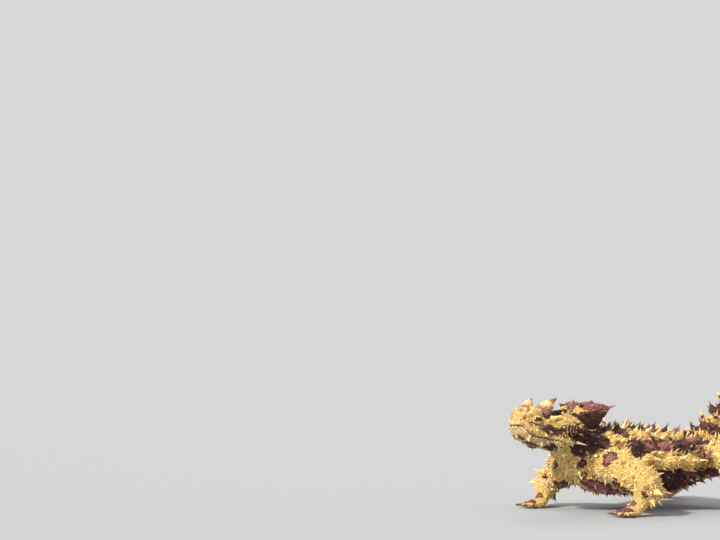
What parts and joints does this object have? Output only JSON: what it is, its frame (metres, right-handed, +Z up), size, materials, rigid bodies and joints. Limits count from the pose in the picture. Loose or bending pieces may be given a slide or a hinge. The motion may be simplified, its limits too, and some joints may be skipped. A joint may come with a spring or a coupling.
{
  "type": "thorny devil",
  "caption": "Life-size thorny devil lizard standing in mid stride: spiny body, twin brow horns, knobbed nape and raised tail.",
  "frame": {"origin": "middle of the footprint's bounding box, on the ground that the soles touch", "axes": "+Z up, -Y the way the trunk faces, +X the lizard's left"},
  "size_m": [0.0772, 0.127, 0.079],
  "materials": {
    "spiny_skin": "dry granular scales, yellow and tan with dark-edged rust brown blotches",
    "horn": "dull horn, pale yellow with brown tips",
    "dark_eye": "wet and glossy"
  },
  "bodies": {
    "root": {"head": "spiny_skin", "neck": "spiny_skin", "nape_knob": "spiny_skin", "torso": "spiny_skin", "tail_base": "spiny_skin", "tail_middle": "spiny_skin", "tail_tip": "spiny_skin", "upper_arm_l": "spiny_skin", "forearm_l": "spiny_skin", "hand_l": "spiny_skin", "thigh_l": "spiny_skin", "shin_l": "spiny_skin", "foot_l": "spiny_skin", "upper_arm_r": "spiny_skin", "forearm_r": "spiny_skin", "hand_r": "spiny_skin", "thigh_r": "spiny_skin", "shin_r": "spiny_skin", "foot_r": "spiny_skin", "horn_l": "horn", "horn_r": "horn", "eye_l": "dark_eye", "eye_r": "dark_eye"}
  },
  "joints": []
}
